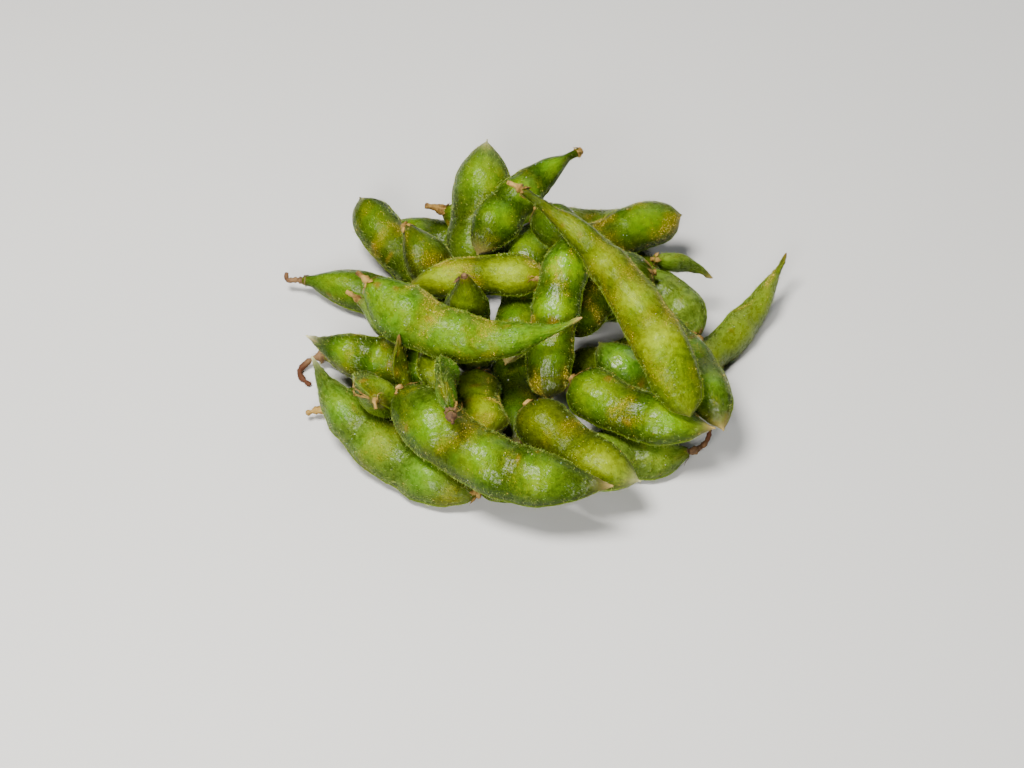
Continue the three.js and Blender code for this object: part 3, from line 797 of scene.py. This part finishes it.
def make_stalk(pod):
    """A stalk with its calyx and loose fibres, or three dry lobes where the stalk is gone."""
    draw = np.random.default_rng(STALK_SEED + pod.seed)
    neck = pod.stalk_centres[-1]
    parts = []
    if len(pod.stalk_centres) > 2:
        parts.append(stalk_tube(pod))
        for i in range(STALKS.get(pod.name, USUAL_STALK)[2]):
            angle = 2 * math.pi * (i + draw.uniform(-0.2, 0.2)) / SEPAL_PLACES
            parts.append(sepal(pod, angle, draw.uniform(*SEPAL_LENGTH), draw))
        for _ in range(3 if len(pod.stalk_centres) > 3 else 2):
            start = neck + draw.normal(size=3) * 0.5
            way = draw.normal(size=3) + unit(neck - pod.stalk_end) * 0.8
            length = draw.uniform(*FIBRE_LENGTH)
            parts.append(curl(start, way, length, FIBRE_RADIUS, draw.uniform(1, 4), draw))
    else:
        for _ in range(3):
            angle = draw.uniform(0, 2 * math.pi)
            parts.append(sepal(pod, angle, draw.uniform(*LONE_SEPAL_LENGTH), draw))
    points, faces = joined(parts)
    points[:, 2] = np.maximum(points[:, 2], LOWEST_TRIM)
    away = np.linalg.norm(points - neck, axis=1)
    browned = np.clip((away - BROWN_FROM) / BROWN_FADE, 0, 1) * pod.stalk_brown
    material = stalk_brown if pod.stalk_brown > MOSTLY_BROWN else stalk_tan
    looks = {"browned": browned.astype(np.float32)}
    make_piece("stalk_" + pod.name, points, faces, material, looks)


# ---- Bristles, seasoning and salt -----------------------------------------------------------
def scatter(pod, density, draw):
    """Random places and angles on a pod's skin, a number of them for each square millimetre."""
    _, _, _, wide, thick = pod.section(np.linspace(0, pod.length, 60))
    area = pod.length * np.mean(math.pi * (wide + thick))
    count = int(area * density)
    at = draw.uniform(0, pod.length, count * 2)
    _, _, _, wide, thick = pod.section(at)
    keep = draw.uniform(0, (wide + thick).max(), count * 2) < wide + thick
    at = at[keep][:count]
    return at, draw.uniform(0, 2 * math.pi, len(at))


def bristles(pod):
    """Thin three-sided spikes that lean towards the tip: points and faces."""
    draw = np.random.default_rng(BRISTLE_SEED + pod.seed)
    at, angle = scatter(pod, BRISTLES_PER_MM2 * pod.hair, draw)
    # They stand closest together along the seams.
    keep = draw.uniform(0, 1, len(at)) < 0.18 + 0.82 * np.cos(angle) ** 6
    at, angle = at[keep], angle[keep]
    points, way = skin_points(pod, at, angle)
    _, tangent, _, _, _ = pod.section(at)
    count = len(at)
    lean = way * draw.uniform(0.5, 1.0, (count, 1)) + tangent * draw.uniform(0.1, 0.9, (count, 1))
    lean = unit(lean + draw.normal(size=(count, 3)) * 0.25)
    length = draw.uniform(*BRISTLE_LENGTH, (count, 1))
    side = unit(np.cross(lean, draw.normal(size=(count, 3))))
    other = np.cross(lean, side)
    radius = draw.uniform(*BRISTLE_RADIUS, (count, 1))
    root = points - way * BRISTLE_ROOT
    spikes = [points + lean * length]
    for turn in (0, 2 * math.pi / 3, 4 * math.pi / 3):
        spikes.append(root + (side * math.cos(turn) + other * math.sin(turn)) * radius)
    spikes = np.stack(spikes, 1).reshape(-1, 3)
    spikes[:, 2] = np.maximum(spikes[:, 2], LOWEST_TRIM)
    first = 4 * np.arange(count)[:, None]
    faces = np.concatenate([first + f for f in ([0, 1, 2], [0, 2, 3], [0, 3, 1])])
    return spikes, faces


OCTAHEDRON = np.array([[1, 0, 0], [-1, 0, 0], [0, 1, 0], [0, -1, 0], [0, 0, 1], [0, 0, -1]], float)
OCTAHEDRON_FACES = np.array(
    [[0, 2, 4], [2, 1, 4], [1, 3, 4], [3, 0, 4], [2, 0, 5], [1, 2, 5], [3, 1, 5], [0, 3, 5]]
)


def grains(places, sizes, draw):
    """Small uneven eight-sided grains at places: points and faces."""
    count = len(places)
    shape = OCTAHEDRON * draw.uniform(0.6, 1.25, (count, 6, 1))
    spin = np.linalg.qr(draw.normal(size=(count, 3, 3)))[0]
    spin[np.linalg.det(spin) < 0, 0] *= -1
    points = places[:, None] + (shape @ spin) * sizes[:, None, None]
    faces = OCTAHEDRON_FACES[None] + 6 * np.arange(count)[:, None, None]
    return points.reshape(-1, 3), faces.reshape(-1, 3)


def seasoning_on(pod):
    """Sand-coloured grains, close together where the skin's material is dusty."""
    draw = np.random.default_rng(SEASONING_SEED + pod.seed)
    at, angle = scatter(pod, GRAINS_PER_MM2 * pod.dust, draw)
    points, way = skin_points(pod, at, angle)
    dust = masks(pod, at, angle, way)["dust"]
    keep = draw.uniform(0, 1, len(at)) < 0.006 + 0.9 * dust**2.5
    keep &= (way[:, 2] > -0.1) & (points[:, 2] > LOWEST_GRAIN)
    points, way = points[keep], way[keep]
    sizes = SMALLEST_GRAIN + GRAIN_GROWTH * draw.uniform(0, 1, len(points)) ** 2
    return grains(points + way * (sizes * STAND_OUT)[:, None], sizes, draw)


def salt_on(pod):
    """A few white grains anywhere on top."""
    draw = np.random.default_rng(SALT_SEED + pod.seed)
    at, angle = scatter(pod, SALT_PER_MM2, draw)
    points, way = skin_points(pod, at, angle)
    keep = (way[:, 2] > 0) & (points[:, 2] > LOWEST_GRAIN)
    points, way = points[keep], way[keep]
    sizes = draw.uniform(*SALT_SIZE, len(points))
    return grains(points + way * (sizes * STAND_OUT)[:, None], sizes, draw)


def gathered(parts):
    """Parts made of triangles as one: an array of points and one of faces."""
    points, faces, first = [], [], 0
    for part_points, part_faces in parts:
        points.append(part_points)
        faces.append(part_faces + first)
        first += len(part_points)
    return np.concatenate(points), np.concatenate(faces)


# ---- The heap -------------------------------------------------------------------------------
pods = {name: Pod(name, number) for number, name in enumerate(PODS)}

for pod in pods.values():
    make_skin(pod)
    make_stalk(pod)

for name, way, start, end in TORN:
    torn_edge(pods[name], way, start, end)

for tint in TINT_GLOSS:
    tinted = [pod for pod in pods.values() if pod.tint == tint]
    spikes = [bristles(pod) for pod in tinted]
    make_piece("bristles_" + tint, *gathered(spikes), bristle_material)
    dusted = [seasoning_on(pod) for pod in tinted]
    make_piece("seasoning_" + tint, *gathered(dusted), seasoning, smooth=False)
salted = [salt_on(pod) for pod in pods.values()]
make_piece("salt", *gathered(salted), salt, smooth=False)


# ---- Floor, light and camera ----------------------------------------------------------------
FLOOR_HALF = 1.5  # metres, as are the lights' places and sizes


def make_floor():
    half = FLOOR_HALF
    corners = [(-half, -half, 0), (half, -half, 0), (half, half, 0), (-half, half, 0)]
    mesh = bpy.data.meshes.new("floor")
    mesh.from_pydata(corners, [], [(0, 1, 2, 3)])
    n = Nodes("floor_pale")
    shade = n.noise(n.place(), 6.0, 2)
    base = n.blend(shade, (0.52, 0.52, 0.51), (0.56, 0.56, 0.55))
    mesh.materials.append(n.finish({"Base Color": base, "Roughness": 0.65}))
    floor = bpy.data.objects.new("floor", mesh)
    bpy.context.scene.collection.objects.link(floor)


def make_light(name, place, size, power, colour):
    """A round soft light that faces the heap, with its power in watts."""
    light = bpy.data.lights.new(name, "AREA")
    light.shape = "DISK"
    light.size = size
    light.energy = power
    light.color = colour
    lamp = bpy.data.objects.new(name, light)
    lamp.location = place
    lamp.rotation_euler = (-lamp.location).to_track_quat("-Z", "Y").to_euler()
    bpy.context.scene.collection.objects.link(lamp)


# The light from all round.
SKY, SKY_STRENGTH = (0.95, 0.97, 1.0, 1), 0.035

make_floor()
make_light("key", (-0.20, -0.06, 0.62), 0.28, 10.0, (1.0, 0.97, 0.92))
make_light("front", (-0.14, -0.58, 0.36), 0.24, 6.0, (1.0, 0.98, 0.94))
make_light("back", (0.30, 0.50, 0.45), 0.5, 1.5, (0.93, 0.96, 1.0))
world = bpy.data.worlds.new("studio")
world.use_nodes = True
world.node_tree.nodes["Background"].inputs["Color"].default_value = SKY
world.node_tree.nodes["Background"].inputs["Strength"].default_value = SKY_STRENGTH
bpy.context.scene.world = world

# The camera's aim on the table, its distance, its height above the horizon and its lens.
AIM = (-5.77, -4.86, 0.0)
DISTANCE = 540.0
ELEVATION = math.radians(44.5)
FOCAL_LENGTH = 75.94
SENSOR_WIDTH = 36.0
camera = bpy.data.objects.new("camera", bpy.data.cameras.new("camera"))
camera.data.sensor_width = SENSOR_WIDTH
camera.data.lens = FOCAL_LENGTH
camera.location = (
    AIM[0] * MM,
    (AIM[1] - DISTANCE * math.cos(ELEVATION)) * MM,
    (AIM[2] + DISTANCE * math.sin(ELEVATION)) * MM,
)
camera.rotation_euler = (math.pi / 2 - ELEVATION, 0, 0)
camera.data.clip_start = 0.01
camera.data.clip_end = 10
bpy.context.scene.collection.objects.link(camera)
bpy.context.scene.camera = camera
